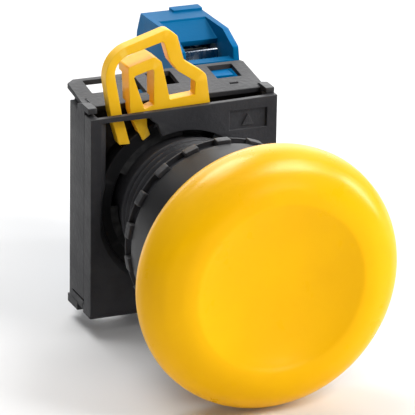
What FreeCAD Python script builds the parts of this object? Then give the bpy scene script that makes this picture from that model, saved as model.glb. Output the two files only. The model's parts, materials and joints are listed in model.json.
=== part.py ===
"""Industrial push button with a 40 mm mushroom head, for a 22 mm panel hole.

Millimetres. The Y axis is the button's axis: the head is at negative Y, +Z is up and +X is to the right for
a person facing the head. The pieces are drawn with the panel's front face at PANEL_Y and exported with that
face, where the gasket seats, at y = 0.
From front to rear: head and stem, bezel and threaded barrel, locking ring, contact adapter with its
swinging lever, and one contact block in the adapter's right-hand bay.
"""
import FreeCAD, Part
import math
import os

V = FreeCAD.Vector

# ---- driving dimensions ----
PANEL_Y = -1.3
TRAVEL = 4.0
FIT = 0.05
GAP = 0.2

HEAD_R = 20.0
HEAD_RIM_Y = -17.6
HEAD_FRONT_Y = -23.2
HEAD_BACK_Y = -14.9
HEAD_WALL = 1.8
CREST_R = 13.9
DISH_DEPTH = 1.9

BARREL_R = 11.0
BORE_R = 9.0
BARREL_FRONT_Y = -10.4
BEZEL_R = 14.65
BEZEL_FRONT_Y = -11.0
BEZEL_SKIRT_Y = -1.43
BEZEL_SKIRT_R = 13.65
GASKET_THICKNESS = 1.4
THREAD_PITCH = 1.5
THREAD_DEPTH = 0.75
THREAD_START_Y = 0.2
THREAD_TURNS = 8
BARREL_END_Y = 18.0
NECK_Y = 12.4
NECK_R = 9.9
LUG_COUNT = 4
LUG_ANGLE = 24.0
LUG_THICKNESS = 1.5

STEM_R = 5.0
SPIGOT_R = 4.0
FLANGE_R = BORE_R - FIT
FLANGE_Y = (-10.8, -8.2)
SHOULDER_Y = (1.0, 2.5)
SPRING_WIRE_R = 0.4
PUSHER_Y = (9.6, 12.0)

NUT_Y = (-1.1, 0.7)
NUT_ROOT_R = 14.0
NUT_LUG_R = 15.05
NUT_LUGS = 18
NUT_HUB_R = 12.6
NUT_HUB_END_Y = 4.0

ADAPTER_HALF = 15.0
COVER_Y = 14.3
COVER_SKIN = 0.9
COVER_TOP_Z = (14.75, 15.35)
COVER_BOTTOM_Z = -17.15
WALL = 1.4
SEAM_Y = 17.2
FRAME_Y = 18.8
FRAME_WALL = 1.4
SIDE_END_Y = 23.4
SIDE_RECESS_Z = (14.0, 15.1)
ROOF_Y = (17.6, 27.0)
ROOF_Z = 15.65
ROOF_SLOPE = 0.14
ROOF_THICKNESS = 0.8
ROOF_HALF = 14.5
WINDOW_Y = (21.9, 26.1)
WINDOW_HALF = 2.03
BAY_PITCH = 10.1
EAR_TOP_Z = 16.15
FOOT_Y = (19.6, 23.9)

LEVER_Y = COVER_Y + COVER_SKIN + GAP
LEVER_THICKNESS = 2.0
INNER_DEPTH = 3.0
THUMB_DEPTH = 4.2
UNLOCK_ANGLE = 30.0

BLOCK_X = (5.1, 14.9)
CASE_X = (5.7, 13.6)
CASE_Y = 20.4
BLOCK_Y = 28.9
BLOCK_END_Y = 47.9
SCREW_Z = 13.2
SCREW_X = 10.0
BRIDGE_TRAVEL = 0.6 * TRAVEL
TIP_R = 1.2


# ---- building helpers ----
def box(x, y, z):
    return Part.makeBox(x[1] - x[0], y[1] - y[0], z[1] - z[0], V(x[0], y[0], z[0]))


def rod(radius, y, x=0.0, z=0.0):
    return Part.makeCylinder(radius, y[1] - y[0], V(x, y[0], z), V(0, 1, 0))


def tube(outer, inner, y, x=0.0, z=0.0):
    return rod(outer, y, x, z).cut(rod(inner, (y[0] - 1, y[1] + 1), x, z))


def turned(points):
    """Solid of revolution about the Y axis from (radius, y) points."""
    wire = Part.makePolygon([V(r, y, 0) for r, y in points + points[:1]])
    return Part.Face(wire).revolve(V(0, 0, 0), V(0, 1, 0), 360)


def rounded_face(corners, place):
    """Flat face from (a, b, corner radius) corners; place turns (a, b) into a point in space."""
    joints = []
    for i, (a, b, radius) in enumerate(corners):
        here = V(a, b, 0)
        before = V(corners[i - 1][0], corners[i - 1][1], 0) - here
        after = V(corners[(i + 1) % len(corners)][0], corners[(i + 1) % len(corners)][1], 0) - here
        before.normalize()
        after.normalize()
        half = before.getAngle(after) / 2
        if radius == 0:
            joints.append((here, None, here))
            continue
        middle = before + after
        middle.normalize()
        reach = radius / math.tan(half)
        centre = here + middle * (radius / math.sin(half))
        joints.append((here + before * reach, centre - middle * radius, here + after * reach))
    joints = [tuple(None if p is None else place(p.x, p.y) for p in joint) for joint in joints]
    edges = []
    for i, (start, middle, end) in enumerate(joints):
        if middle is not None:
            edges.append(Part.Arc(start, middle, end).toShape())
        following = joints[(i + 1) % len(joints)][0]
        if (following - end).Length > 1e-6:
            edges.append(Part.LineSegment(end, following).toShape())
    return Part.Face(Part.Wire(edges))


def plate(corners, y):
    """Plate with an (x, z) outline between two y planes."""
    return rounded_face(corners, lambda a, b: V(a, y[0], b)).extrude(V(0, y[1] - y[0], 0))


def side_plate(corners, x):
    """Plate with a (y, z) outline between two x planes."""
    return rounded_face(corners, lambda a, b: V(x[0], a, b)).extrude(V(x[1] - x[0], 0, 0))


def sharp(points):
    return [(a, b, 0) for a, b in points]


def mirrored(shape):
    """Copy of a shape turned upside down, across the z = 0 plane."""
    return shape.mirror(V(0, 0, 0), V(0, 0, 1))


def joined(shapes):
    return shapes[0].multiFuse(shapes[1:]).removeSplitter()


def sector(radius, y, centre_angle, width):
    """Wedge of a disc about the Y axis; angles in degrees from +Z towards +X."""
    half = math.radians(width / 2)
    middle = math.radians(centre_angle)
    reach = 2 * radius
    points = [(0, 0)]
    for angle in (middle - half, middle, middle + half):
        points.append((reach * math.sin(angle), reach * math.cos(angle)))
    return plate(sharp(points), y).common(rod(radius, y))


def coil(radius, wire_r, y, turns, x=0.0, z=0.0):
    """Helical compression spring along Y, swept half a turn at a time."""
    low, high = y[0] + wire_r, y[1] - wire_r
    pitch = (high - low) / turns
    helix = Part.Wire(Part.makeHelix(pitch, pitch / 2, radius))
    circle = Part.makeCircle(wire_r, V(radius, 0, 0), V(0, 2 * math.pi * radius, pitch))
    half_turn = helix.makePipeShell([Part.Wire(circle)], True, True)
    wall = [face for face in half_turn.Faces if not isinstance(face.Surface, Part.Plane)]
    ends = [face for face in half_turn.Faces if isinstance(face.Surface, Part.Plane)]
    ends.sort(key=lambda face: face.CenterOfMass.z)
    faces = [ends[0]]
    for step in range(2 * turns):
        for face in wall + ([ends[1]] if step == 2 * turns - 1 else []):
            piece = face.copy()
            piece.rotate(V(0, 0, 0), V(0, 0, 1), 180 * step)
            piece.translate(V(0, 0, pitch / 2 * step))
            faces.append(piece)
    shell = Part.makeShell(faces)
    shell.sewShape()
    spring = Part.makeSolid(shell)
    spring.rotate(V(0, 0, 0), V(1, 0, 0), -90)
    spring.translate(V(x, low, z))
    return spring


# ---- head and stem: they move together along +Y ----
def mushroom_cap():
    """Thin moulded shell: dished face, rolled rim, open back, and a boss that grips the stem."""
    def dish(r):
        return V(r, HEAD_FRONT_Y + DISH_DEPTH * (1 - (r / CREST_R) ** 2), 0)
    face = Part.BSplineCurve()
    shoulder = [V(17.4, -22.0, 0), V(19.4, -19.9, 0), V(HEAD_R, HEAD_RIM_Y, 0)]
    crest = [V(CREST_R, HEAD_FRONT_Y, 0)]
    face.interpolate([dish(0), dish(CREST_R / 2), dish(11.6)] + crest + shoulder,
                     InitialTangent=V(1, 0, 0), FinalTangent=V(0, 1, 0))
    back = V(HEAD_R - 1.2, HEAD_BACK_Y, 0)
    rim = Part.Arc(V(HEAD_R, HEAD_RIM_Y, 0), V(HEAD_R - 0.4, -16.0, 0), back)
    inner_back = V(back.x - 1.0, HEAD_BACK_Y, 0)
    inner_wall = V(17.6, -18.0, 0)
    inner_top = V(13.6, -21.2, 0)
    inner_arc = Part.Arc(inner_wall, V(16.6, -20.0, 0), inner_top)
    boss = [inner_top, V(8.0, -20.3, 0), V(6.3, -19.6, 0), V(6.3, FLANGE_Y[0], 0),
            V(SPIGOT_R + 0.02, FLANGE_Y[0], 0), V(SPIGOT_R + 0.02, -19.02, 0), V(0, -19.02, 0), dish(0)]
    edges = [face, rim, Part.LineSegment(back, inner_back), Part.LineSegment(inner_back, inner_wall),
             inner_arc] + [Part.LineSegment(a, b) for a, b in zip(boss, boss[1:])]
    section = Part.Face(Part.Wire([e.toShape() for e in edges]))
    return section.revolve(V(0, 0, 0), V(0, 1, 0), 360)


def plunger():
    """Stem with a spigot for the head, a guided flange with an O-ring groove, and a clip groove."""
    front, rear = FLANGE_Y
    groove = (front + 0.6, rear - 0.7)
    clip = (SHOULDER_Y[1] + GAP, SHOULDER_Y[1] + GAP + 0.8)
    return turned([
        (0, -19.0), (SPIGOT_R, -19.0), (SPIGOT_R, front), (FLANGE_R, front), (FLANGE_R, groove[0]),
        (7.7, groove[0]), (7.7, groove[1]), (FLANGE_R, groove[1]), (FLANGE_R, rear), (STEM_R, rear),
        (STEM_R, clip[0]), (4.3, clip[0]), (4.3, clip[1]), (STEM_R, clip[1]), (STEM_R, PUSHER_Y[0]),
        (3.0, PUSHER_Y[0]), (3.0, PUSHER_Y[1] - 0.6), (0, PUSHER_Y[1] - 0.6)])


def plunger_seal():
    middle = (FLANGE_Y[0] + 0.6 + FLANGE_Y[1] - 0.7) / 2
    return Part.makeTorus(8.33, 0.6, V(0, middle, 0), V(0, 1, 0))


def retaining_clip():
    """E-clip in the stem's groove: it stops the stem against the barrel's shoulder."""
    y = (SHOULDER_Y[1] + GAP, SHOULDER_Y[1] + GAP + 0.8)
    ring = tube(7.6, STEM_R + 0.02, y)
    teeth = [tube(6.0, 4.32, y).common(sector(7.0, y, angle, 40)) for angle in (0, 120, 240)]
    mouth = box((-3.4, 3.4), y, (-9.0, -4.6))
    return joined([ring] + teeth).cut(mouth)


def pusher_plate():
    """Cup on the stem's rear end: its rim presses whichever contact blocks are fitted."""
    front, rear = PUSHER_Y
    inside = front + 1.2
    cup = turned([(3.0, front), (8.7, front), (8.7, rear), (6.4, rear), (6.4, inside), (3.0, inside)])
    holes = [rod(0.9, (front - 1, rear), 4.7 * math.sin(a), 4.7 * math.cos(a))
             for a in (math.radians(60 * i) for i in range(6))]
    return cup.cut(Part.makeCompound(holes))


def return_spring():
    return coil(7.2, SPRING_WIRE_R, (FLANGE_Y[1] + 0.1, SHOULDER_Y[0] - 0.1), 5)


# ---- front of panel and barrel ----
def operator_sleeve():
    """Barrel: front flange, threaded 22 mm stretch, neck and four bayonet lugs at the rear end."""
    seat = PANEL_Y - GASKET_THICKNESS
    outline = [(BORE_R, BARREL_FRONT_Y), (11.2, BARREL_FRONT_Y), (11.2, seat - 1.2), (13.6, seat - 1.2),
               (13.6, seat), (BARREL_R, seat)]
    for turn in range(THREAD_TURNS):
        y = THREAD_START_Y + turn * THREAD_PITCH
        outline += [(BARREL_R, y), (BARREL_R - THREAD_DEPTH, y + 0.5 * THREAD_PITCH),
                    (BARREL_R, y + 0.95 * THREAD_PITCH)]
    outline += [(BARREL_R, NECK_Y - 0.2), (NECK_R, NECK_Y), (NECK_R, BARREL_END_Y), (BORE_R, BARREL_END_Y),
                (BORE_R, SHOULDER_Y[1]), (STEM_R + FIT, SHOULDER_Y[1]), (STEM_R + FIT, SHOULDER_Y[0]),
                (BORE_R, SHOULDER_Y[0])]
    lug_y = (BARREL_END_Y - 0.2 - LUG_THICKNESS, BARREL_END_Y - 0.2)
    lugs = [sector(BARREL_R - FIT, lug_y, 45 + 360 / LUG_COUNT * i, LUG_ANGLE).cut(rod(NECK_R - 0.3, lug_y))
            for i in range(LUG_COUNT)]
    key = box((-1.5, 1.5), (seat, 0.6), (10.6, 12.0))
    return joined([turned(outline), key] + lugs)


def bezel_ring():
    """Smooth collar over the barrel's front, with a rounded front edge and a skirt over the flange."""
    corner = 1.6
    lip_r = 9.45
    flange_y = PANEL_Y - GASKET_THICKNESS - 1.25
    start = V(lip_r, BEZEL_FRONT_Y, 0)
    before = V(BEZEL_R - corner, BEZEL_FRONT_Y, 0)
    bend = V(BEZEL_R - corner * (1 - math.sqrt(0.5)), BEZEL_FRONT_Y + corner * (1 - math.sqrt(0.5)), 0)
    after = V(BEZEL_R, BEZEL_FRONT_Y + corner, 0)
    rest = [after, V(BEZEL_R, BEZEL_SKIRT_Y, 0), V(BEZEL_SKIRT_R, BEZEL_SKIRT_Y, 0),
            V(BEZEL_SKIRT_R, flange_y, 0), V(11.25, flange_y, 0),
            V(11.25, BARREL_FRONT_Y, 0), V(lip_r, BARREL_FRONT_Y, 0), start]
    edges = [Part.LineSegment(start, before), Part.Arc(before, bend, after)]
    edges += [Part.LineSegment(a, b) for a, b in zip(rest, rest[1:])]
    section = Part.Face(Part.Wire([e.toShape() for e in edges]))
    return section.revolve(V(0, 0, 0), V(0, 1, 0), 360)


def panel_gasket():
    """Rubber washer between the flange and the panel, notched for the barrel's key."""
    y = (PANEL_Y - GASKET_THICKNESS, PANEL_Y)
    ring = tube(BEZEL_SKIRT_R - 0.1, BARREL_R + FIT, y)
    return ring.cut(box((-1.6, 1.6), (y[0] - 1, y[1] + 1), (10, 12.1)))


def locking_ring():
    """Hand nut: a narrow notched rim, closed at its rear by a thin flange, on a smaller threaded hub."""
    front, rear = NUT_Y
    flange = 0.3
    counterbore_r, step_y, bore_r = 12.3, 0.9, BARREL_R + 0.1
    body = turned([(counterbore_r, front), (NUT_ROOT_R - 0.3, front), (NUT_ROOT_R, front + 0.3),
                   (NUT_ROOT_R, rear - flange), (NUT_LUG_R - 0.25, rear - flange), (NUT_LUG_R - 0.25, rear),
                   (counterbore_r + 1.0, rear), (NUT_HUB_R, rear + 0.7), (NUT_HUB_R, NUT_HUB_END_Y),
                   (bore_r, NUT_HUB_END_Y), (bore_r, step_y), (counterbore_r, step_y)])
    lug_y = (front + 0.1, rear - flange / 2)
    lugs = [sector(NUT_LUG_R, lug_y, 360 / NUT_LUGS * i, 8.5).cut(rod(NUT_ROOT_R - 0.5, lug_y))
            for i in range(NUT_LUGS)]
    return joined([body] + lugs)


# ---- adapter ----
def cover_top(x):
    """Height of the front cover's slanting top edge."""
    low, high = COVER_TOP_Z
    return low + (high - low) * (x + ADAPTER_HALF) / (2 * ADAPTER_HALF)


def cover_opening():
    """Cut-out for the lever's legs, chamfered along its straight left side and along the arc below it."""
    y = (COVER_Y - 1, COVER_Y + COVER_SKIN + 0.01)
    left, top, slope = -13.35, 14.05, 1.05
    inside = COVER_Y + COVER_SKIN
    cone = Part.makeCone(14.95, 12.85, 1.8, V(0, COVER_Y - 0.9, 0), V(0, 1, 0))
    around = cone.common(plate(sharp([
        (0, 0), (-4.4, 12.9), (-5.4, 13.6), (left, 13.6), (left, -16), (-7.5, -16)]), y))
    upright = plate(sharp([
        (left, 2.0), (-9.0, 2.0), (-4.4, 12.9), (-5.4, 13.6), (-5.5, top), (left, top)]), y)
    wedge = Part.Face(Part.makePolygon([V(x, depth, 2.0) for x, depth in (
        (left, COVER_Y), (left - 1, COVER_Y), (left - 1, inside + 1), (left + slope, inside + 1),
        (left + slope, inside), (left, COVER_Y))])).extrude(V(0, 0, 20))
    return rod(BARREL_R + 0.4, y).fuse([around, upright.cut(wedge)])


def adapter_front_cover():
    """Front half of the adapter: thin face, deep rim, a slanting top edge and a recessed label field."""
    half = ADAPTER_HALF
    bottom_end = ROOF_Y[0] - FIT
    inside = COVER_Y + COVER_SKIN
    outline = sharp([(-half, COVER_BOTTOM_Z), (half, COVER_BOTTOM_Z), (half, cover_top(half)),
                     (-half, cover_top(-half))])
    shell = plate(outline, (COVER_Y, SEAM_Y))
    lip = box((-half, half), (SEAM_Y, bottom_end), (COVER_BOTTOM_Z, COVER_BOTTOM_Z + WALL))
    pocket = box((-half + WALL, half - WALL), (inside, SEAM_Y + 1), (COVER_BOTTOM_Z + WALL, 20.0))
    ear_x = (half - WALL - 0.3, half + 1)
    ear_seats = [box(sorted((side * ear_x[0], side * ear_x[1])), (15.45, SEAM_Y + 1), (15.2, 20.0))
                 for side in (-1, 1)]
    label_x, label_z, label_depth = (7.2, 13.3), (10.55, 13.55), 0.35
    label = box(label_x, (COVER_Y - 1, COVER_Y + label_depth), label_z)
    arrow = plate(sharp([(9.3, 11.1), (11.2, 11.1), (10.25, 12.9)]), (COVER_Y + 0.1, COVER_Y + label_depth))
    border_z = (COVER_BOTTOM_Z - 1, COVER_BOTTOM_Z + 0.5)
    border = box((-half - 1, half + 1), (COVER_Y - 1, COVER_Y + 0.15), border_z)
    return joined([joined([shell, lip]).cut([pocket, cover_opening(), label, border] + ear_seats), arrow])


def roof_z(y):
    """Height of the adapter's sloping roof at a depth y."""
    return ROOF_Z + ROOF_SLOPE * (y - ROOF_Y[0])


def corner_cut(inner, outer):
    """Upright prism that cuts a rear corner of the roof or floor from (x, y) outer to inner."""
    side = math.copysign(1, outer[0])
    far = [(side * 20, outer[1]), (side * 20, 32), (inner[0], 32)]
    points = [outer] + far + [inner]
    face = Part.Face(Part.makePolygon([V(x, y, 0) for x, y in points + points[:1]]))
    return face.extrude(V(0, 0, 25))


def frame_roof():
    """Sloping roof with a window over each bay, a latch slot and a small ejector mark."""
    front, rear = ROOF_Y
    roof = side_plate(sharp([
        (front, roof_z(front)), (rear, roof_z(rear)), (rear, roof_z(rear) - ROOF_THICKNESS),
        (front, roof_z(front) - ROOF_THICKNESS)]), (-ROOF_HALF, ROOF_HALF))
    lip = box((-4.55, 4.55), (rear - 0.7, rear), (14.3, roof_z(rear) - 0.4))
    roof = joined([roof, lip])
    cuts = [box((centre - WINDOW_HALF, centre + WINDOW_HALF), WINDOW_Y, (15.0, 18.0))
            for centre in (-BAY_PITCH + 0.15, 0.1, BAY_PITCH + 0.2)]
    return roof, cuts


def adapter_side(side):
    """Side wall of the frame: a skin that stops below the roof, an inner wall and the ear over the cover."""
    half = ADAPTER_HALF
    bottom = COVER_BOTTOM_Z + WALL + 0.05
    step_y = ROOF_Y[0]
    skin = side_plate(sharp([
        (SEAM_Y, bottom), (step_y, bottom), (step_y, -16.6), (SIDE_END_Y, -16.6),
        (SIDE_END_Y, SIDE_RECESS_Z[1]), (SEAM_Y, SIDE_RECESS_Z[0])]),
        sorted((side * half, side * (half - 0.8))))
    inner = side_plate(sharp([
        (SEAM_Y, bottom), (step_y, bottom), (step_y, -16.3), (SIDE_END_Y, -16.3),
        (SIDE_END_Y, roof_z(SIDE_END_Y) - 0.3), (step_y, ROOF_Z - 0.3), (SEAM_Y, ROOF_Z - 0.3)]),
        sorted((side * (half - 0.7), side * (half - 1.3))))
    ear = side_plate(sharp([
        (15.5, 15.25), (15.5, EAR_TOP_Z), (18.2, EAR_TOP_Z), (20.3, 15.5), (20.3, 13.0), (SEAM_Y, 13.0),
        (SEAM_Y, 15.25)]), sorted((side * half, side * (half - WALL))))
    foot = box(sorted((side * (half + 0.1), side * (half - WALL))), FOOT_Y, (-17.6, -16.3))
    return [skin, inner, ear, foot]


def adapter_frame():
    """Rear half of the adapter: front wall, three bays, sloping roof with windows, floor, side walls."""
    half = ADAPTER_HALF
    wall_end = FRAME_Y + FRAME_WALL
    roof, windows = frame_roof()
    front_wall = box((-half + 0.8, half - 0.8), (FRAME_Y, wall_end), (-15.5, ROOF_Z - 0.2))
    pieces = [front_wall, roof, mirrored(roof)] + adapter_side(-1) + adapter_side(1)
    pieces.append(box((-half, half), (ROOF_Y[0], FOOT_Y[0]), (-16.6, -15.0)))
    for x in (-BAY_PITCH / 2, BAY_PITCH / 2):
        divider_end = ROOF_Y[1] - 0.3
        top = [(FRAME_Y, roof_z(FRAME_Y) - 0.3), (divider_end, roof_z(divider_end) - 0.3)]
        pieces.append(side_plate(sharp(top + [(y, -z) for y, z in reversed(top)]), (x - 0.45, x + 0.45)))
    ear_hook = plate(sharp([(-13.65, EAR_TOP_Z), (-12.35, 14.9), (-12.35, 14.2), (-13.65, 14.2)]),
                     (FRAME_Y - 0.1, wall_end))
    body = joined(pieces + [ear_hook])
    cuts = windows + [mirrored(window) for window in windows]
    cuts.append(rod(9.4, (SEAM_Y - 1, wall_end + 1)))
    cuts.append(box((-6.05, -3.85), (20.25, 25.4), (15.0, 18.0)))
    cuts.append(box((9.5, 10.9), (19.65, 20.15), (roof_z(19.9) - 0.3, 18.0)))
    cuts.append(box((-half - 1, -half + 0.7), (SEAM_Y - 0.5, 22.1), (-15.2, -14.9)))
    cuts.append(corner_cut((-13.2, ROOF_Y[1] + 0.01), (-ROOF_HALF - 0.01, 25.9)))
    cuts.append(corner_cut((14.1, ROOF_Y[1] + 0.01), (ROOF_HALF + 0.01, 26.6)))
    cuts += [mirrored(corner_cut((side * 13.0, ROOF_Y[1] + 0.01), (side * (ROOF_HALF + 0.01), FOOT_Y[1])))
             for side in (-1, 1)]
    return body.cut(cuts)


# ---- lock lever and the ring it turns: they move together about the Y axis ----
LEVER_OUTLINE = [
    (-10.1, 9.9, 0.2), (-11.5, 14.9, 0.2), (-12.95, 24.1, 5.0), (-2.5, 27.3, 1.2), (-0.95, 26.1, 0.8),
    (0.15, 22.1, 0.9), (3.8, 19.6, 1.6), (4.6, 14.2, 0.2), (-5.75, 14.2, 0.1), (-5.6, 12.3, 0.3),
    (-5.1, 11.0, 0.2), (-6.2, 10.2, 0.2), (-8.3, 9.9, 0.2)]
FINGER_GAP = [
    (-7.97, 8.5, 0), (-5.57, 8.5, 0), (-7.9, 13.6, 0.2), (-8.4, 14.95, 0.2), (-8.75, 21.9, 0.3),
    (-4.65, 23.15, 0.3), (-3.4, 22.3, 0.4), (-2.0, 16.15, 0.2), (2.0, 16.5, 0.2), (2.0, 18.6, 0.4),
    (-0.8, 20.5, 0.3), (-2.1, 22.15, 0.4), (-3.1, 25.4, 0.4), (-11.05, 23.2, 2.9), (-10.75, 20.5, 0.2),
    (-9.7, 14.85, 0.2)]
INNER_GAP = [(-7.85, 20.4, 0.3), (-4.65, 21.3, 0.3), (-4.6, 15.6, 0.2), (-6.05, 15.1, 0.2)]
INNER_FRAME = [(-8.6, 16.1), (-8.75, 21.9), (-4.65, 23.15), (-3.4, 22.3), (-2.15, 17.4), (-4.7, 16.5),
               (-6.35, 16.1)]
THUMB_REST = [(-8.68, 20.4), (-8.75, 21.9), (-4.65, 23.15), (-3.4, 22.3), (-3.07, 21.0), (-4.65, 21.3),
              (-7.85, 20.4)]


def lock_lever():
    """Loop around an inner frame, two legs that hook the bayonet ring, and a deep bar for a thumb."""
    y = LEVER_Y
    pieces = [plate(LEVER_OUTLINE, (y, y + LEVER_THICKNESS)), plate(sharp(INNER_FRAME), (y, y + INNER_DEPTH)),
              plate(sharp(THUMB_REST), (y, y + THUMB_DEPTH))]
    gaps = [plate(outline, (y - 1, y + THUMB_DEPTH + 1)) for outline in (FINGER_GAP, INNER_GAP)]
    return joined(pieces).cut(gaps)


def bayonet_ring(lever):
    """Ring with an inner lip that traps the barrel's lugs; its notches line up when the lever is over."""
    y = (LEVER_Y, LEVER_Y + 2.8)
    lip_y = (y[0], y[0] + 0.7)
    ring = tube(13.3, BARREL_R + 0.15, y)
    lip = tube(BARREL_R + 0.3, NECK_R + 0.25, lip_y)
    notches = [sector(BARREL_R + 0.15, lip_y, 45 - UNLOCK_ANGLE + 360 / LUG_COUNT * i, LUG_ANGLE + 4)
               for i in range(LUG_COUNT)]
    return ring.fuse(lip).cut(notches).cut(lever).removeSplitter()


# ---- contact block ----
def contact_front_case():
    """Front half of the contact block: plunger guide, hollow inside, with a latch tab in the roof window."""
    z = 14.0
    case = box(CASE_X, (CASE_Y, BLOCK_Y), (-z, z))
    hollow = box((CASE_X[0] + 0.85, CASE_X[1] - 0.85), (CASE_Y + 1.0, BLOCK_Y + 1), (-z + 1, z - 1))
    guide = box((6.8, 8.75), (CASE_Y - 1, CASE_Y + 2), (-1.65, 1.65))
    tab = side_plate(sharp([
        (22.6, z - 0.5), (22.6, z), (23.3, 16.1), (25.8, 16.1), (25.8, z - 0.5)]), (8.5, 11.6))
    return joined([case.cut([hollow, guide]), tab, mirrored(tab)])


def terminal_space():
    """Room for one terminal: chamber behind the front wall, and the trough above its sloping deck."""
    x = (BLOCK_X[0] + 1.0, BLOCK_X[1] - 1.0)
    return side_plate(sharp([
        (30.9, 9.4), (40.0, 9.4), (40.0, 18.5), (35.9, 16.9), (35.6, 17.8), (40.5, 19.6), (40.5, 22.0),
        (27.5, 22.0), (27.5, 16.4), (30.9, 16.4)]), x)


def contact_housing():
    """Rear half of the contact block, with a finger-safe hood over each terminal."""
    upper = [(BLOCK_Y, 16.1, 0), (29.4, 18.3, 0), (33.6, 20.0, 0), (46.0, 19.7, 0), (47.6, 16.2, 0),
             (BLOCK_END_Y, 12.5, 0)]
    outline = upper + [(y, -z, r) for y, z, r in reversed(upper)]
    body = side_plate(outline, BLOCK_X)
    tab = box((SCREW_X, BLOCK_X[1]), (44.2, 46.2), (19.0, 20.1))
    space = terminal_space()
    tunnel = rod(3.4, (39.5, BLOCK_END_Y + 1), SCREW_X, SCREW_Z)
    strip_slot = box((7.3, 12.7), (32.3, 35.1), (8.0, 10.0))
    works = box((6.5, 12.8), (BLOCK_Y - 1, 38.0), (-8.6, 8.6))
    rear_panel = box((6.6, 13.4), (BLOCK_END_Y - 0.6, BLOCK_END_Y + 1), (-6.5, 6.5))
    cuts = [space, tunnel, strip_slot]
    cuts += [mirrored(cut) for cut in cuts] + [works, rear_panel]
    return joined([body, tab, mirrored(tab)]).cut(cuts)


def fixed_terminal():
    """Brass strip: contact end inside, a step, and a threaded clamping plate under the screw."""
    inner_y, outer_y, sheet = 32.5, 34.1, 0.8
    strip = side_plate(sharp([
        (inner_y, 4.1), (inner_y + sheet, 4.1), (inner_y + sheet, 9.0), (outer_y + sheet, 9.9),
        (outer_y + sheet, 16.6), (outer_y, 16.6), (outer_y, 10.2), (inner_y, 9.3)]), (7.7, 12.3))
    pad = box((6.6, 13.4), (outer_y, outer_y + sheet), (10.3, 16.6))
    return strip.fuse(pad).cut(rod(1.72, (30, 40), SCREW_X, SCREW_Z)).removeSplitter()


def terminal_screw():
    """Pan-head screw with a combined cross and slot recess."""
    head = (37.4, 39.4)
    body = rod(1.7, (31.4, head[0] + 0.5), SCREW_X, SCREW_Z).fuse(rod(3.0, head, SCREW_X, SCREW_Z))
    rim = [e for e in body.Edges if abs(e.BoundBox.YMin - head[1]) < 1e-6 and e.Length > 15]
    body = body.makeFillet(0.5, rim)
    slot_y = (head[1] - 1.0, head[1] + 1)
    slot = box((SCREW_X - 3.2, SCREW_X + 3.2), slot_y, (SCREW_Z - 0.4, SCREW_Z + 0.4))
    cross = box((SCREW_X - 0.4, SCREW_X + 0.4), slot_y, (SCREW_Z - 1.8, SCREW_Z + 1.8))
    return body.cut([slot, cross])


def terminal_washer():
    """Square clamping washer with turned-down sides that hold the wires in."""
    plain = box((SCREW_X - 3.2, SCREW_X + 3.2), (36.5, 37.4), (SCREW_Z - 3.0, SCREW_Z + 3.0))
    sides = [box(sorted((SCREW_X + s * 3.2, SCREW_X + s * 2.6)), (35.9, 37.0), (SCREW_Z - 3.0, SCREW_Z + 3.0))
             for s in (-1, 1)]
    return joined([plain] + sides).cut(rod(1.9, (35, 38), SCREW_X, SCREW_Z))


def contact_tip(y, z):
    return rod(TIP_R, y, SCREW_X, z)


def contact_plunger():
    """Carriage with a window for the bridge, and a finger that reaches through to the pusher plate."""
    finger = box((6.95, 8.6), (PUSHER_Y[1] + 0.1, 22.6), (-1.5, 1.5))
    carriage = box((6.95, 12.5), (21.6, 29.9), (-3.2, 3.2))
    window = box((8.6, 11.4), (23.0, 29.1), (-4, 4))
    return joined([finger, carriage.cut(window)])


def moving_bridge():
    """Copper bar across the two fixed contacts, with its ends stepped back for the contact tips."""
    y = (28.3, 28.9)
    bar = box((8.9, 11.1), y, (-7.0, 7.0))
    tongue = rod(0.7, (27.6, 28.5), SCREW_X, 0)
    return joined([bar, tongue])


def group(shapes):
    return Part.makeCompound(shapes)


def all_parts():
    lever = lock_lever()
    terminal = fixed_terminal()
    screw = terminal_screw()
    washer = terminal_washer()
    tip_z = 5.6
    return {
        "mushroom_cap": mushroom_cap(),
        "plunger": plunger(),
        "plunger_seal": plunger_seal(),
        "return_spring": return_spring(),
        "retaining_clip": retaining_clip(),
        "pusher_plate": pusher_plate(),
        "bezel_ring": bezel_ring(),
        "panel_gasket": panel_gasket(),
        "operator_sleeve": operator_sleeve(),
        "locking_ring": locking_ring(),
        "adapter_front_cover": adapter_front_cover(),
        "adapter_frame": adapter_frame(),
        "lock_lever": lever,
        "bayonet_ring": bayonet_ring(lever),
        "contact_front_case": contact_front_case(),
        "contact_housing": contact_housing(),
        "fixed_terminal_upper": terminal,
        "fixed_terminal_lower": mirrored(terminal),
        "fixed_contact_tips": group([contact_tip((32.0, 32.5), z) for z in (-tip_z, tip_z)]),
        "terminal_screws": group([screw, mirrored(screw)]),
        "terminal_washers": group([washer, mirrored(washer)]),
        "contact_plunger": contact_plunger(),
        "contact_spring": coil(1.8, 0.2, (30.0, 37.9), 8, SCREW_X),
        "bridge_spring": coil(1.1, 0.15, (23.1, 28.2), 8, SCREW_X),
        "moving_bridge": moving_bridge(),
        "bridge_contact_tips": group([contact_tip((28.9, 29.4), z) for z in (-tip_z, tip_z)]),
    }


os.makedirs("parts", exist_ok=True)
for name, shape in all_parts().items():
    shape.translate(V(0, -PANEL_Y, 0))
    shape.exportStep("parts/" + name + ".step")
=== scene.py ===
"""Looks of an industrial push button with a mushroom head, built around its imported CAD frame.

Metres, in the CAD frame: the Y axis is the button's axis with the head at negative Y, +Z is up.
"""
import json
import math

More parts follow.
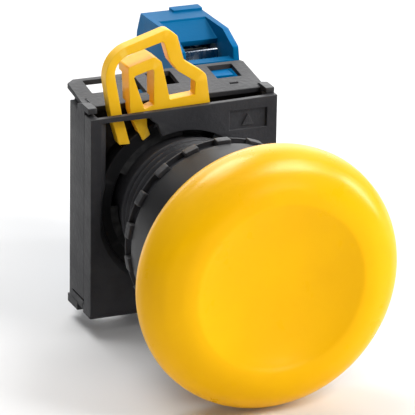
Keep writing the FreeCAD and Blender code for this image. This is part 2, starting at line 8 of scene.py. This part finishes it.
import bmesh
import bpy
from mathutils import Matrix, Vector


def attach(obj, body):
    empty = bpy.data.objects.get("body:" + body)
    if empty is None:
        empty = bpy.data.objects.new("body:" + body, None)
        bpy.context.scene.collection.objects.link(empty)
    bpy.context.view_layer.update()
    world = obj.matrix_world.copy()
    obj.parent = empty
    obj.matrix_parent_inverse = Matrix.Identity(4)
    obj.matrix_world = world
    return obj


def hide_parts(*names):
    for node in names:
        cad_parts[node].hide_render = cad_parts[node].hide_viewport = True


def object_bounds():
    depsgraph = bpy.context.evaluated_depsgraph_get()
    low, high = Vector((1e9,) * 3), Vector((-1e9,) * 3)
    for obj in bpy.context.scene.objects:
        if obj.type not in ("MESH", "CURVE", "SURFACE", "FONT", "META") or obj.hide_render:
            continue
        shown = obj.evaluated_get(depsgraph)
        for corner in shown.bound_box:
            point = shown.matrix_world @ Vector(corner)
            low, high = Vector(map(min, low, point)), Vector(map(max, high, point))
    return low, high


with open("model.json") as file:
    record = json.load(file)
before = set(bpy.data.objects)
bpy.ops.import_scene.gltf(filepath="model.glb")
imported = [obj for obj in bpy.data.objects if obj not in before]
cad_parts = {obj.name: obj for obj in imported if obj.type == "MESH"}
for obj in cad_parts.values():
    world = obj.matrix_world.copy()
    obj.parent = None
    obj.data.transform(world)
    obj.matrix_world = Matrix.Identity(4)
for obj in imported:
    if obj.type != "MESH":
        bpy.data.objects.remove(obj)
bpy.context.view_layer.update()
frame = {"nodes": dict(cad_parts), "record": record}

MM = 0.001
nodes = frame["nodes"]


# ---- node-based materials ----
def link(tree, a, b):
    tree.links.new(a, b)


def add(tree, kind, **values):
    node = tree.nodes.new(kind)
    for key, value in values.items():
        if key in node.inputs:
            node.inputs[key].default_value = value
        else:
            setattr(node, key, value)
    return node


def noise(tree, coords, scale, detail=4.0, roughness=0.5):
    texture = add(tree, "ShaderNodeTexNoise", Scale=scale, Detail=detail, Roughness=roughness)
    link(tree, coords, texture.inputs["Vector"])
    return texture.outputs["Fac"]


def ramp(tree, value, low, high, to_low, to_high):
    """Value mapped from low..high to to_low..to_high, clamped."""
    node = tree.nodes.new("ShaderNodeMapRange")
    for name, number in (("From Min", low), ("From Max", high), ("To Min", to_low), ("To Max", to_high)):
        node.inputs[name].default_value = number
    link(tree, value, node.inputs["Value"])
    return node.outputs["Result"]


def blend_colour(tree, factor, low, high):
    node = add(tree, "ShaderNodeMix", data_type="RGBA")
    link(tree, factor, node.inputs["Factor"])
    node.inputs["A"].default_value = (*low, 1.0)
    node.inputs["B"].default_value = (*high, 1.0)
    return node


def moulded(name, colour, tint, roughness, grain, depth, edge=None, gloss=0.5, inner=0.0,
            sheen=(1.0, 1.0, 1.0), painted_top_sheen=None):
    """Moulded plastic: tone that drifts from colour to tint, fine spark grain and uneven polish.

    `grain` and `depth` are the grain's frequency and its height in metres. Edges are rubbed towards the
    colour
    `edge`. `inner` is the share of light that spreads inside. Surfaces that look up get the higher gloss of
    the
    last argument: a painted sheen, which makes them reflect more as if lit more from above.
    """
    material = bpy.data.materials.new(name)
    material.use_nodes = True
    tree = material.node_tree
    shader = tree.nodes["Principled BSDF"]
    coords = add(tree, "ShaderNodeTexCoord").outputs["Object"]
    tone = ramp(tree, noise(tree, coords, 90.0, 3.0), 0.35, 0.65, 0.0, 1.0)
    mixed = blend_colour(tree, tone, colour, tint)
    result = mixed.outputs["Result"]
    if edge is not None:
        geometry = add(tree, "ShaderNodeNewGeometry")
        worn = ramp(tree, geometry.outputs["Pointiness"], 0.52, 0.60, 0.0, 1.0)
        patchy = ramp(tree, noise(tree, coords, 700.0, 3.0), 0.35, 0.7, 0.15, 0.8)
        both = add(tree, "ShaderNodeMath", operation="MULTIPLY")
        link(tree, worn, both.inputs[0])
        link(tree, patchy, both.inputs[1])
        rubbed = blend_colour(tree, both.outputs[0], colour, edge)
        link(tree, result, rubbed.inputs["A"])
        result = rubbed.outputs["Result"]
    link(tree, result, shader.inputs["Base Color"])
    smears = noise(tree, coords, 160.0, 5.0, 0.6)
    link(tree, ramp(tree, smears, 0.3, 0.7, roughness - 0.05, roughness + 0.07), shader.inputs["Roughness"])
    fine = add(tree, "ShaderNodeBump", Strength=1.0, Distance=depth)
    link(tree, noise(tree, coords, grain, 2.0), fine.inputs["Height"])
    link(tree, fine.outputs["Normal"], shader.inputs["Normal"])
    if painted_top_sheen is None:
        shader.inputs["Specular IOR Level"].default_value = gloss
    else:
        # painted sheen: faces that look up get the higher gloss, so they reflect more as if lit from above
        parts = add(tree, "ShaderNodeSeparateXYZ")
        link(tree, add(tree, "ShaderNodeNewGeometry").outputs["Normal"], parts.inputs["Vector"])
        link(tree, ramp(tree, parts.outputs["Z"], 0.25, 0.8, gloss, painted_top_sheen), shader.inputs["Specular IOR Level"])
    shader.inputs["Specular Tint"].default_value = (*sheen, 1.0)
    if inner:
        shader.inputs["Subsurface Weight"].default_value = inner
        shader.inputs["Subsurface Radius"].default_value = (0.0012, 0.0006, 0.0001)
        shader.inputs["Subsurface Scale"].default_value = 1.0
    return material


def metal(name, colour, tint, roughness, depth, stretch=(1.0, 1.0, 1.0)):
    """Metal with uneven tone and fine pits, drawn out into lines along an axis whose stretch is small."""
    material = bpy.data.materials.new(name)
    material.use_nodes = True
    tree = material.node_tree
    shader = tree.nodes["Principled BSDF"]
    coords = add(tree, "ShaderNodeTexCoord").outputs["Object"]
    mapping = add(tree, "ShaderNodeMapping", Scale=stretch)
    link(tree, coords, mapping.inputs["Vector"])
    tone = ramp(tree, noise(tree, coords, 220.0, 4.0), 0.35, 0.65, 0.0, 1.0)
    link(tree, blend_colour(tree, tone, colour, tint).outputs["Result"], shader.inputs["Base Color"])
    streaks = noise(tree, mapping.outputs["Vector"], 1500.0, 4.0)
    link(tree, ramp(tree, streaks, 0.3, 0.7, roughness - 0.06, roughness + 0.1), shader.inputs["Roughness"])
    bump = add(tree, "ShaderNodeBump", Strength=1.0, Distance=depth)
    link(tree, streaks, bump.inputs["Height"])
    link(tree, bump.outputs["Normal"], shader.inputs["Normal"])
    shader.inputs["Metallic"].default_value = 1.0
    return material


# the head and the black plastic take a painted sheen: more gloss on faces that look up
YELLOW = moulded("yellow_head_plastic", (0.90, 0.46, 0.0), (0.93, 0.49, 0.0), 0.3, 2600.0, 0.000008,
                 gloss=0.12, sheen=(1.0, 0.93, 0.7), painted_top_sheen=1.0)
LEVER_YELLOW = moulded("lever_yellow_plastic", (0.93, 0.50, 0.0), (0.96, 0.54, 0.01), 0.4, 2200.0, 0.00001,
                       edge=(1.0, 0.68, 0.12), sheen=(1.0, 0.85, 0.5))
BLACK = moulded("black_grained_plastic", (0.028, 0.028, 0.031), (0.044, 0.044, 0.048), 0.42, 1500.0, 0.00006,
                edge=(0.08, 0.08, 0.08), gloss=0.08, painted_top_sheen=0.34)
BLACK_FINE = moulded("black_smooth_plastic", (0.009, 0.009, 0.010), (0.014, 0.014, 0.015), 0.34, 3200.0,
                     0.000008, edge=(0.05, 0.05, 0.05), gloss=0.18)
BLUE = moulded("blue_moulded_plastic", (0.0, 0.108, 0.255), (0.0, 0.122, 0.30), 0.5, 2400.0, 0.000012,
               edge=(0.0, 0.20, 0.54), gloss=0.1, sheen=(0.1, 0.5, 1.0))
WHITE = moulded("white_slider_plastic", (0.72, 0.72, 0.68), (0.78, 0.78, 0.74), 0.42, 2200.0, 0.00001,
                inner=0.1)
RUBBER = moulded("seal_rubber", (0.012, 0.012, 0.012), (0.02, 0.02, 0.02), 0.72, 3000.0, 0.00003, gloss=0.3)
ZINC = metal("zinc_plated_steel", (0.62, 0.62, 0.60), (0.70, 0.69, 0.64), 0.28, 0.000006)
SPRING = metal("spring_wire", (0.42, 0.42, 0.42), (0.52, 0.52, 0.52), 0.3, 0.000006)
TINNED = metal("tinned_strip", (0.30, 0.33, 0.37), (0.38, 0.41, 0.45), 0.25, 0.000008, (1.0, 1.0, 0.08))
BRASS = metal("rolled_brass", (0.72, 0.50, 0.18), (0.78, 0.57, 0.24), 0.3, 0.000008, (1.0, 1.0, 0.08))
SILVER = metal("silver_contact_alloy", (0.82, 0.82, 0.80), (0.88, 0.88, 0.85), 0.22, 0.000004)


# ---- mesh helpers ----
def make_object(name, mesh):
    piece = bpy.data.objects.new(name, mesh)
    bpy.context.scene.collection.objects.link(piece)
    return piece


def finish_piece(piece, material, body, smooth_angle):
    piece.data.materials.clear()
    piece.data.materials.append(material)
    for polygon in piece.data.polygons:
        polygon.use_smooth = True
    piece.data.set_sharp_from_angle(angle=math.radians(smooth_angle))
    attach(piece, body)


def round_edges(piece, width, angle, clamp=True):
    """Round the edges sharper than angle, and weight the normals so that flat faces look flat."""
    bevel = piece.modifiers.new("edge", "BEVEL")
    bevel.width = width * MM
    bevel.segments = 2
    bevel.limit_method = "ANGLE"
    bevel.angle_limit = math.radians(angle)
    bevel.use_clamp_overlap = clamp
    even = piece.modifiers.new("even", "WEIGHTED_NORMAL")
    even.weight = 80
    for polygon in piece.data.polygons:
        polygon.use_smooth = True
    graph = bpy.context.evaluated_depsgraph_get()
    baked = bpy.data.meshes.new_from_object(piece.evaluated_get(graph))
    piece.modifiers.clear()
    piece.data = baked


def body_of(node):
    return next(body for body, members in frame["record"]["behaviour"]["bodies"].items() if node in members)


def softened(node, material, width, merge):
    """Copy of a CAD piece with every sharp edge rounded off, as a mould or a tumbled blank leaves it.

    Vertices closer than `merge` become one, because an edge shorter than the rounding can't be rounded.
    """
    piece = make_object(node + "_soft", nodes[node].data.copy())
    solid = bmesh.new()
    solid.from_mesh(piece.data)
    bmesh.ops.remove_doubles(solid, verts=solid.verts, dist=merge * MM)
    bmesh.ops.dissolve_limit(solid, angle_limit=math.radians(0.4), verts=solid.verts, edges=solid.edges)
    bmesh.ops.triangulate(solid, faces=solid.faces)
    solid.to_mesh(piece.data)
    solid.free()
    round_edges(piece, width, 28.0, clamp=False)
    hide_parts(node)
    finish_piece(piece, material, body_of(node), 40.0)


# ---- turned pieces, drawn in mm with their rounded edges ----
PANEL = 1.3            # added to every drawn y, which puts the panel's front face at y = 0
HEAD_R = 20.0
HEAD_RIM_Y = -17.6
HEAD_FRONT_Y = -23.2
HEAD_BACK_Y = -14.9
CREST_R = 13.2
DISH_DEPTH = 1.9
HEAD_RIBS = 6
BARREL_R = 11.0
BORE_R = 9.0
BARREL_FRONT_Y = -10.4
BARREL_END_Y = 18.0
NECK_R = 9.9
NECK_Y = 12.4
THREAD_PITCH = 1.5
THREAD_DEPTH = 0.75
THREAD_Y = (0.2, 12.1)
THREAD_FADE = 0.8
BARREL_LUGS = 4
NUT_LUGS = 18


def corner_curve(start, control, end, steps):
    """Points from start to end on a curve that leaves and arrives towards control."""
    return [(1 - t) ** 2 * start + 2 * t * (1 - t) * control + t ** 2 * end
            for t in (step / steps for step in range(steps + 1))]


def filleted(points, steps=4):
    """Closed (r, y, corner radius) outline in mm with each corner replaced by a short arc."""
    outline = []
    for i, (r, y, radius) in enumerate(points):
        here = Vector((r, y))
        if radius == 0:
            outline.append(here)
            continue
        before = Vector(points[i - 1][:2]) - here
        after = Vector(points[(i + 1) % len(points)][:2]) - here
        half = before.angle(after) / 2
        reach = min(radius / math.tan(half), 0.49 * before.length, 0.49 * after.length)
        outline += corner_curve(here + before.normalized() * reach, here,
                                here + after.normalized() * reach, steps)
    return outline


def about_axis(r, y, angle):
    """Place in metres at radius r and depth y in mm, with the angle measured about Y from +Z."""
    return (r * math.sin(angle) * MM, y * MM, r * math.cos(angle) * MM)


def turned_mesh(mesh, outline, segments, shape=None):
    """Add a closed outline turned about Y to a bmesh; shape(r, y, angle) may move each point's radius."""
    rings = []
    for point in outline:
        r, y = point[0], point[1] + PANEL
        if r < 1e-6:
            rings.append([mesh.verts.new((0, y * MM, 0))])
            continue
        ring = []
        for i in range(segments):
            angle = 2 * math.pi * i / segments
            radius = shape(r, y, angle) if shape else r
            ring.append(mesh.verts.new(about_axis(radius, y, angle)))
        rings.append(ring)
    for a, b in zip(rings, rings[1:] + rings[:1]):
        if len(a) == 1 and len(b) == 1:
            continue
        for i in range(segments):
            j = (i + 1) % segments
            corners = [a[i % len(a)], a[j % len(a)], b[j % len(b)], b[i % len(b)]]
            mesh.faces.new(list(dict.fromkeys(corners)))


def wedge_mesh(mesh, radii, y, centre, width, steps=6):
    """Add a solid sector block about Y: radii and y are (low, high) in mm, angles in degrees from +Z."""
    front, rear = (depth + PANEL for depth in y)
    section = ((radii[0], front), (radii[1], front), (radii[1], rear), (radii[0], rear))
    corners = []
    for i in range(steps + 1):
        angle = math.radians(centre + width * (i / steps - 0.5))
        corners.append([mesh.verts.new(about_axis(r, depth, angle)) for r, depth in section])
    for a, b in zip(corners, corners[1:]):
        for i in range(4):
            mesh.faces.new((a[i], a[(i + 1) % 4], b[(i + 1) % 4], b[i]))
    mesh.faces.new(corners[0][::-1])
    mesh.faces.new(corners[-1])


def block_mesh(mesh, x, y, z):
    """Add a box to a bmesh: x, y and z are (low, high) in mm."""
    places = [(a, b, c) for a in x for b in y for c in z]
    v = [mesh.verts.new((a * MM, (b + PANEL) * MM, c * MM)) for a, b, c in places]
    for quad in ((0, 1, 3, 2), (4, 6, 7, 5), (0, 4, 5, 1), (2, 3, 7, 6), (0, 2, 6, 4), (1, 5, 7, 3)):
        mesh.faces.new([v[i] for i in quad])


def built(node, mesh, material, sharp=35.0, edge=0.0):
    """Finish a bmesh as the piece that stands in for a CAD node, with its edges rounded by `edge` mm."""
    bmesh.ops.recalc_face_normals(mesh, faces=mesh.faces)
    data = bpy.data.meshes.new(node + "_shape")
    mesh.to_mesh(data)
    mesh.free()
    piece = make_object(node + "_shape", data)
    if edge:
        round_edges(piece, edge, 40.0)
    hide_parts(node)
    finish_piece(piece, material, body_of(node), sharp)


def through(points, steps=10):
    """Smooth curve through every point but the first and last, which only set the end directions."""
    curve = []
    for a, b, c, d in zip(points, points[1:], points[2:], points[3:]):
        a, b, c, d = (Vector(p) for p in (a, b, c, d))
        for step in range(steps):
            t = step / steps
            curve.append(0.5 * ((2 * b) + (c - a) * t + (2 * a - 5 * b + 4 * c - d) * t * t
                                + (3 * b - a - 3 * c + d) * t ** 3))
    curve.append(Vector(points[-2]))
    return curve


def dish(r):
    """Point on the head's dished face."""
    return (r, HEAD_FRONT_Y + DISH_DEPTH * (1 - (r / CREST_R) ** 2))


def mushroom_head():
    """Dished cap with a rolled rim, a hollow back and a collar that takes the stem."""
    rim = (HEAD_R, HEAD_RIM_Y)
    back_edge = (18.8, HEAD_BACK_Y)
    outline = [Vector(dish(r)) for r in (0.0, 1.0, 2.0, 3.5, 5.0, 6.5, 8.0, 9.5)]
    outline += through([dish(9.5), dish(10.6), (11.9, -22.87), (CREST_R, -23.17), (15.2, -22.97),
                        (17.3, -22.13), (18.6, -21.05), (19.4, -19.9), (19.86, -18.8), rim, (HEAD_R, -16.4)])
    outline += corner_curve(Vector(rim), Vector((19.8, -15.75)), Vector(back_edge), 10)[1:-1]
    outline += filleted([
        (*back_edge, 0.35), (17.8, HEAD_BACK_Y, 0.35), (17.6, -18.0, 0.5), (16.6, -20.0, 1.0),
        (13.6, -21.2, 1.0), (8.0, -20.3, 0.8), (6.3, -19.6, 0.6), (6.3, -10.8, 0.25),
        (4.02, -10.8, 0.1), (4.02, -19.02, 0), (0.0, -19.02, 0), (*rim, 0)])[:-1]
    mesh = bmesh.new()
    turned_mesh(mesh, outline, 192)
    for i in range(HEAD_RIBS):
        wedge_mesh(mesh, (6.2, 13.4), (-20.9, -19.2), 30 + 360 / HEAD_RIBS * i, 5.0, 2)
    built("mushroom_cap", mesh, YELLOW, 50.0)


def bezel():
    """Smooth collar with a thin skirt around the gasket."""
    mesh = bmesh.new()
    turned_mesh(mesh, filleted([
        (9.45, -11.0, 0.25), (14.65, -11.0, 1.6), (14.65, -1.43, 0.15), (13.65, -1.43, 0.1),
        (13.65, -3.95, 0), (11.25, -3.95, 0), (11.25, BARREL_FRONT_Y, 0), (9.45, BARREL_FRONT_Y, 0.1)],
        10), 160)
    built("bezel_ring", mesh, BLACK_FINE)


def threaded_barrel():
    """Barrel with a helical thread that fades in and out at its ends, a key and the bayonet lugs."""
    begin, end = (y + PANEL for y in THREAD_Y)

    def thread(r, y, angle):
        if not (begin <= y <= end) or r < BARREL_R - 0.1:
            return r
        turn = (y - THREAD_PITCH * angle / (2 * math.pi)) / THREAD_PITCH % 1.0
        height = min(1.0, abs(turn - 0.5) * 2.6)
        fade = max(0.0, min(1.0, (y - begin) / THREAD_FADE, (end - y) / THREAD_FADE))
        return r - THREAD_DEPTH * (1.0 - height) * fade
    outline = [(BORE_R, BARREL_FRONT_Y), (11.2, BARREL_FRONT_Y), (11.2, -3.9), (13.6, -3.9), (13.6, -2.7),
               (BARREL_R, -2.7), (BARREL_R, 0.15)]
    outline += [(BARREL_R, 0.25 + 0.1 * i) for i in range(120)]
    outline += [(NECK_R, NECK_Y), (NECK_R, 17.85), (9.75, BARREL_END_Y), (BORE_R, BARREL_END_Y),
                (BORE_R, 2.5), (5.05, 2.5), (5.05, 1.0), (BORE_R, 1.0)]
    mesh = bmesh.new()
    turned_mesh(mesh, outline, 144, thread)
    block_mesh(mesh, (-1.5, 1.5), (-2.7, 0.6), (10.6, 12.0))
    for i in range(BARREL_LUGS):
        wedge_mesh(mesh, (9.7, 10.95), (16.3, 17.8), 45 + 360 / BARREL_LUGS * i, 24.0)
    built("operator_sleeve", mesh, BLACK)


def stem():
    """Stepped stem with the seal's groove in its flange and the clip's groove behind the shoulder."""
    mesh = bmesh.new()
    turned_mesh(mesh, filleted([
        (0, -19.0, 0), (4.0, -19.0, 0.3), (4.0, -10.8, 0), (8.95, -10.8, 0.2), (8.95, -10.2, 0.1),
        (7.7, -10.2, 0), (7.7, -8.9, 0), (8.95, -8.9, 0.1), (8.95, -8.2, 0.2), (5.0, -8.2, 0.3),
        (5.0, 2.7, 0.05), (4.3, 2.7, 0), (4.3, 3.5, 0), (5.0, 3.5, 0.05), (5.0, 9.6, 0.1), (3.0, 9.6, 0),
        (3.0, 11.4, 0.3), (0, 11.4, 0)]), 96)
    built("plunger", mesh, WHITE)


def hand_nut():
    """Notched rim, closed at its rear by a thin flange, with lead-in chamfers on the threaded hub."""
    mesh = bmesh.new()
    turned_mesh(mesh, filleted([
        (12.3, -1.1, 0.15), (14.0, -1.1, 0.25), (14.0, 0.4, 0), (14.8, 0.4, 0.1), (14.8, 0.7, 0.1),
        (13.3, 0.7, 0.2), (12.6, 1.4, 0.2), (12.6, 4.0, 0.3), (11.1, 4.0, 0.2), (11.1, 0.9, 0),
        (12.3, 0.9, 0)]), 144)
    for i in range(NUT_LUGS):
        wedge_mesh(mesh, (13.6, 15.04), (-1.0, 0.55), 360 / NUT_LUGS * i, 8.5)
    built("locking_ring", mesh, BLACK, edge=0.12)


def lever_ring():
    """Bayonet ring with a front lip between the slots for the barrel's lugs, and a thin rear lip."""
    mesh = bmesh.new()
    turned_mesh(mesh, filleted([(11.15, 15.7, 0.15), (13.3, 15.7, 0.2), (13.3, 18.5, 0.1), (9.3, 18.5, 0.1),
                                (9.3, 18.25, 0.1), (11.15, 18.25, 0)]), 144)
    for i in range(BARREL_LUGS):
        wedge_mesh(mesh, (10.15, 11.3), (15.7, 16.1), 60 + 360 / BARREL_LUGS * i, 62.0, 16)
    built("bayonet_ring", mesh, BLACK_FINE)


# ---- CAD pieces: material and edge rounding in mm, 0 where the piece is round already ----
FINISHES = {
    "plunger_seal": (RUBBER, 0.0), "retaining_clip": (SPRING, 0.08), "pusher_plate": (BLACK_FINE, 0.12),
    "panel_gasket": (RUBBER, 0.1),
    "adapter_front_cover": (BLACK, 0.12), "adapter_frame": (BLACK, 0.12), "lock_lever": (LEVER_YELLOW, 0.12),
    "contact_front_case": (BLUE, 0.12), "contact_housing": (BLUE, 0.15),
    "fixed_terminal_upper": (TINNED, 0.06), "fixed_terminal_lower": (TINNED, 0.06),
    "fixed_contact_tips": (SILVER, 0.08), "terminal_screws": (ZINC, 0.06), "terminal_washers": (ZINC, 0.06),
    "contact_plunger": (WHITE, 0.1), "moving_bridge": (BRASS, 0.06), "bridge_contact_tips": (SILVER, 0.08),
    "contact_spring": (SPRING, 0.0), "bridge_spring": (SPRING, 0.0), "return_spring": (SPRING, 0.0),
}


MERGE = 0.002          # mm
MERGES = {"lock_lever": 0.16}


def dress_nodes():
    for node, (material, width) in FINISHES.items():
        if width:
            softened(node, material, width, MERGES.get(node, MERGE))
        else:
            for slot in nodes[node].material_slots:
                slot.material = material


# ---- floor, light and camera ----
def camera_at(target, yaw, pitch, roll, distance, lens, pan, shift):
    """Camera that looks at target from yaw and pitch, then slides by pan along its own right and up."""
    yaw, pitch, roll = (math.radians(angle) for angle in (yaw, pitch, roll))
    back = Vector((math.sin(yaw) * math.cos(pitch), -math.cos(yaw) * math.cos(pitch), math.sin(pitch)))
    right = Vector((0, 0, 1)).cross(back).normalized()
    up = back.cross(right)
    right, up = (math.cos(roll) * right + math.sin(roll) * up, math.cos(roll) * up - math.sin(roll) * right)
    data = bpy.data.cameras.new("camera")
    data.lens = lens
    data.sensor_width = 36.0
    data.clip_start = 0.01
    data.shift_x, data.shift_y = shift
    camera = make_object("camera", data)
    place = Vector(target) + back * distance + right * pan[0] + up * pan[1]
    for row in range(3):
        camera.matrix_world[row][0] = right[row]
        camera.matrix_world[row][1] = up[row]
        camera.matrix_world[row][2] = back[row]
        camera.matrix_world[row][3] = place[row]
    bpy.context.scene.camera = camera


def soft_box(name, place, aim, size, watts):
    light = bpy.data.lights.new(name, "AREA")
    light.shape = "RECTANGLE"
    light.size, light.size_y = size
    light.energy = watts
    lamp = make_object(name, light)
    lamp.location = place
    lamp.rotation_euler = (Vector(aim) - Vector(place)).to_track_quat("-Z", "Y").to_euler()


def lay_floor():
    """Pale floor just under the lowest point of the object."""
    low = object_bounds()[0][2] - 0.02 * MM
    reach = 2.5
    mesh = bpy.data.meshes.new("floor")
    mesh.from_pydata([(-reach, -reach, low), (reach, -reach, low), (reach, reach, low), (-reach, reach, low)],
                     [], [(0, 1, 2, 3)])
    pale = bpy.data.materials.new("pale_floor")
    pale.use_nodes = True
    shader = pale.node_tree.nodes["Principled BSDF"]
    shader.inputs["Base Color"].default_value = (0.82, 0.82, 0.82, 1.0)
    shader.inputs["Roughness"].default_value = 0.9
    mesh.materials.append(pale)
    floor = make_object("floor", mesh)


def surround():
    """White world that is bright behind and above the object and dim everywhere else."""
    world = bpy.data.worlds.new("surround")
    bpy.context.scene.world = world
    world.use_nodes = True
    tree = world.node_tree
    sky = tree.nodes["Background"]
    direction = add(tree, "ShaderNodeTexCoord").outputs["Generated"]
    toward = add(tree, "ShaderNodeVectorMath", operation="DOT_PRODUCT")
    link(tree, direction, toward.inputs[0])
    toward.inputs[1].default_value = (0.34, 0.80, 0.49)
    link(tree, ramp(tree, toward.outputs["Value"], 0.72, 0.95, 0.18, 2.5), sky.inputs["Strength"])
    sky.inputs["Color"].default_value = (1.0, 1.0, 1.0, 1.0)


def lights():
    centre = (0.0, 10 * MM, 0.0)
    soft_box("key_light", (0.33, -0.33, 0.51), centre, (0.27, 0.27), 2.7)
    soft_box("top_light", (-0.12, 0.2, 0.62), centre, (0.35, 0.35), 2.6)
    soft_box("right_light", (0.61, -0.16, 0.15), centre, (0.12, 0.26), 1.8)
    soft_box("front_light", (0.27, -0.69, 0.12), centre, (0.14, 0.14), 0.8)


dress_nodes()
for build in (mushroom_head, bezel, threaded_barrel, stem, hand_nut, lever_ring):
    build()
camera_at(target=(0.0, -16.3 * MM, 0.0), yaw=-22.71, pitch=20.85, roll=1.0, distance=0.5165, lens=313.1,
          pan=(-7.92 * MM, 10.28 * MM), shift=(-0.0106, -0.0072))
lay_floor()
surround()
lights()
bpy.context.scene.view_settings.view_transform = "Standard"
